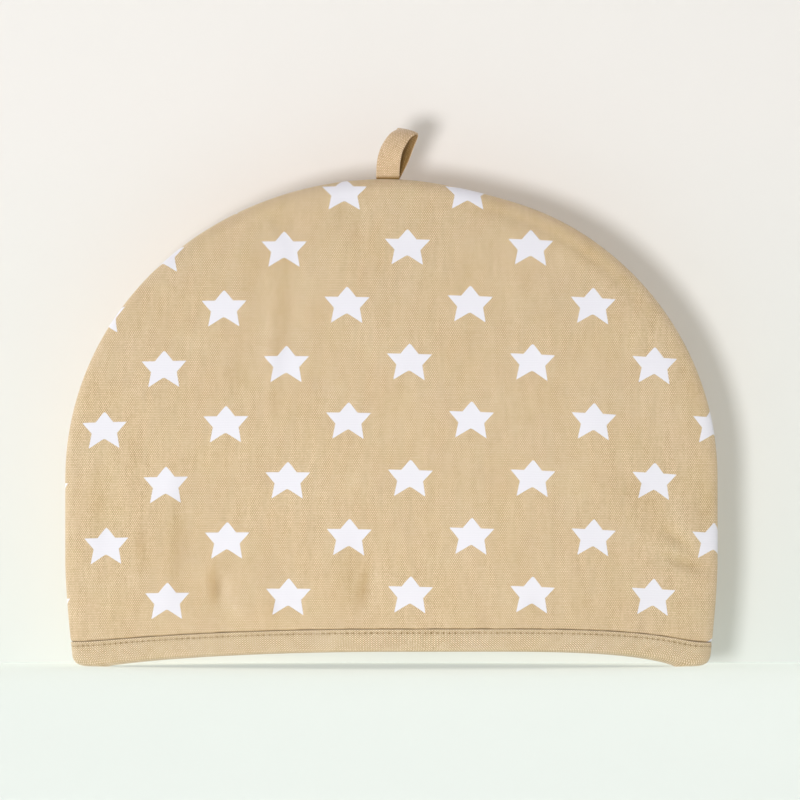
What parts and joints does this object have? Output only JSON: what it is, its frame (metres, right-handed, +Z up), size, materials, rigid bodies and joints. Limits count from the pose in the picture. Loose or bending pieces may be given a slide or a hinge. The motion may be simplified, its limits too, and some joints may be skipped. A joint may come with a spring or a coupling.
{
  "type": "tea cosy",
  "caption": "Padded dome-shaped cloth cover for a teapot, open below, with a bias-bound hem and a hanging loop.",
  "frame": {"origin": "on the table, under the middle of the cosy", "axes": "+X along the cosy's width, +Y from front to back, +Z up"},
  "size_m": [0.35, 0.09, 0.2892],
  "materials": {
    "printed_cotton": "matt plain weave, natural beige with white printed stars",
    "bias_binding": "matt plain weave cut on the bias, natural beige"
  },
  "bodies": {
    "root": {"front_panel": "printed_cotton", "back_panel": "printed_cotton", "hem_binding": "bias_binding", "hanging_loop": "bias_binding"}
  },
  "joints": []
}
